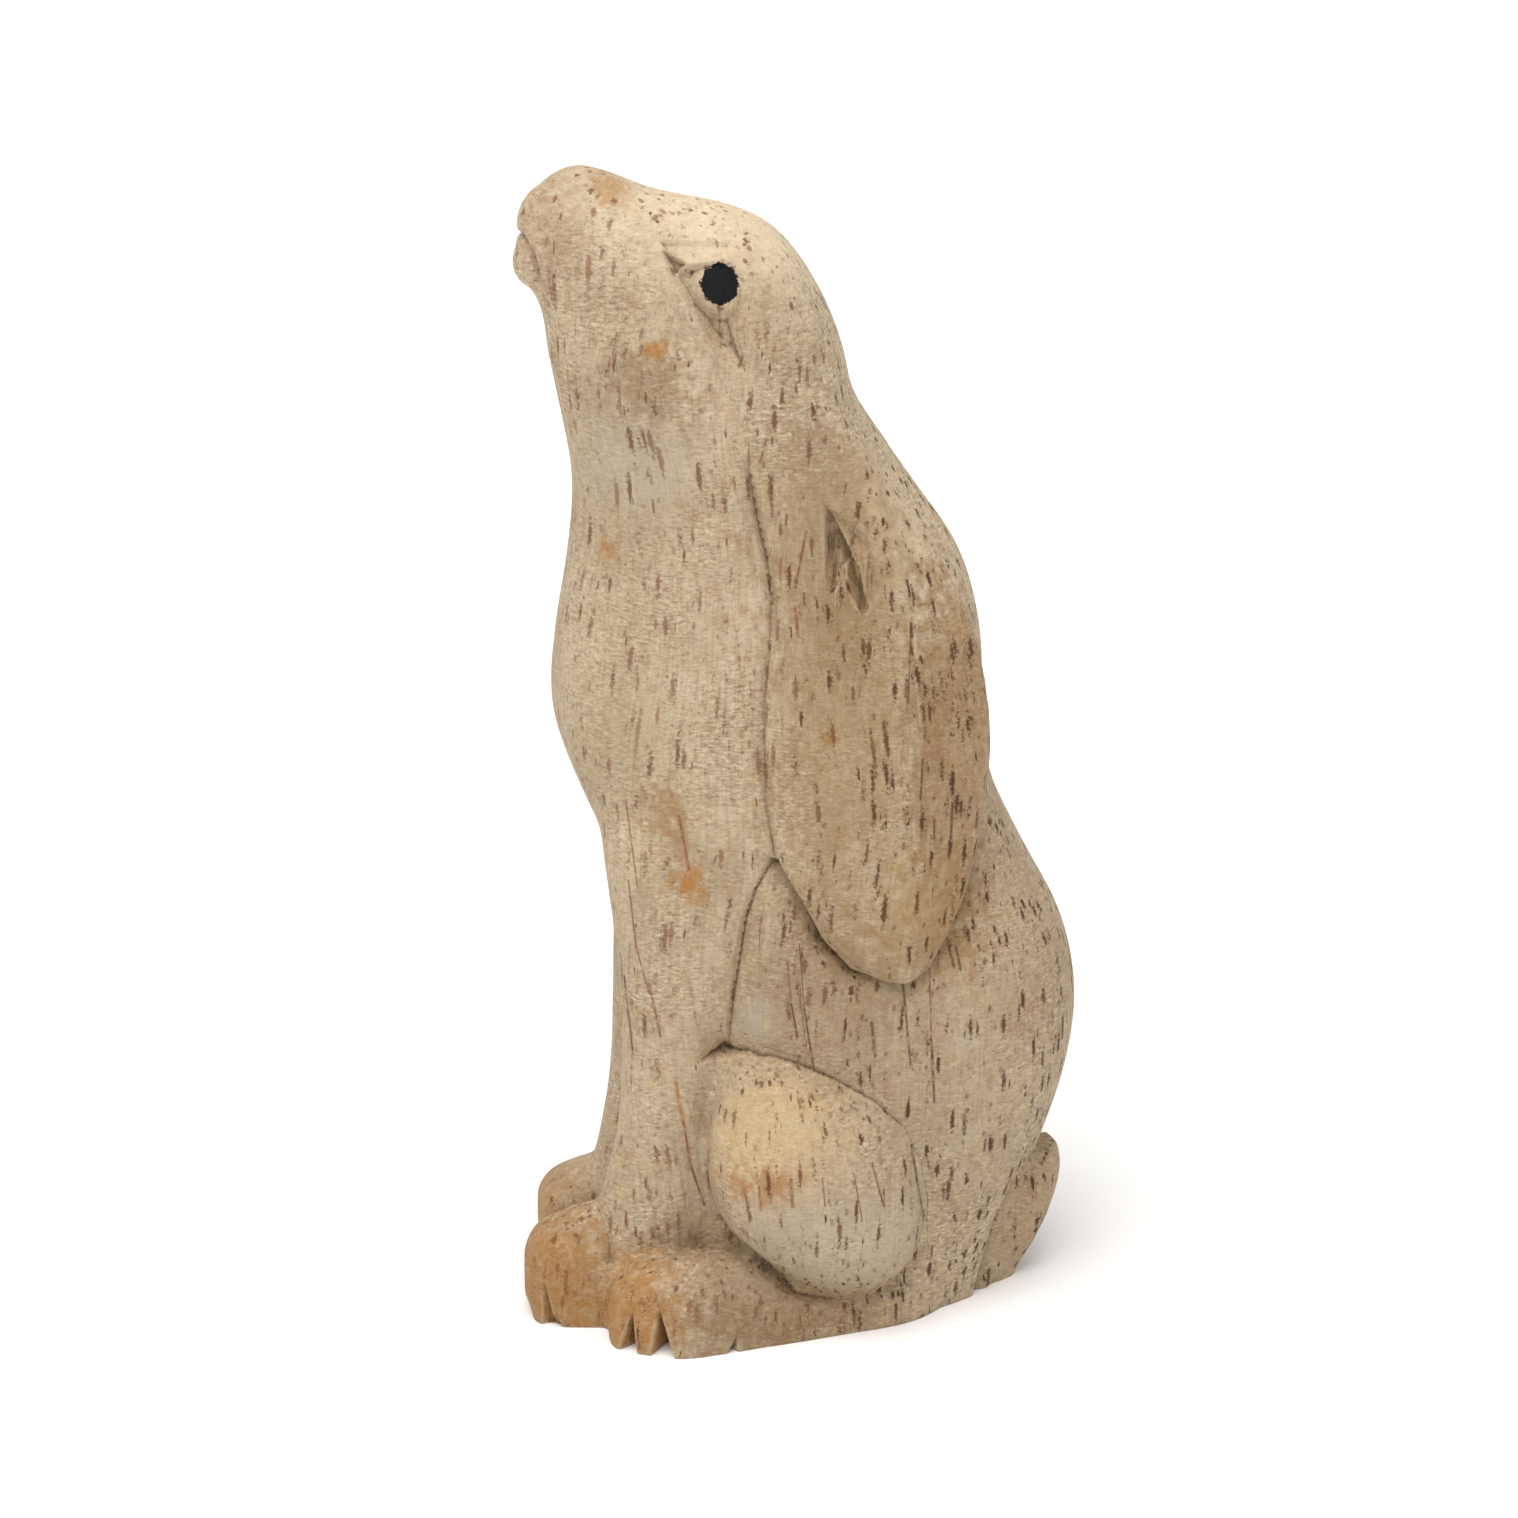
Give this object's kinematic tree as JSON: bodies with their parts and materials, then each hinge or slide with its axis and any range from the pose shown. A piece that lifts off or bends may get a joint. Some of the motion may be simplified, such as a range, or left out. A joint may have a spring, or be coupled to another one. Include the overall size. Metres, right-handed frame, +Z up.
{
  "type": "hare figure",
  "caption": "Carved wooden hare that sits upright on its haunches with its head raised and its long ears laid down its flanks.",
  "frame": {"origin": "middle of the figure's bounding box, on its flat underside", "axes": "+Z is up the figure's height, -Y is the way the hare faces, +X is its left side"},
  "size_m": [0.0426, 0.0575, 0.1197],
  "materials": {
    "pale_wood": "satin, hand carved, open-pored"
  },
  "bodies": {
    "root": {"hare": "pale_wood"}
  },
  "joints": []
}
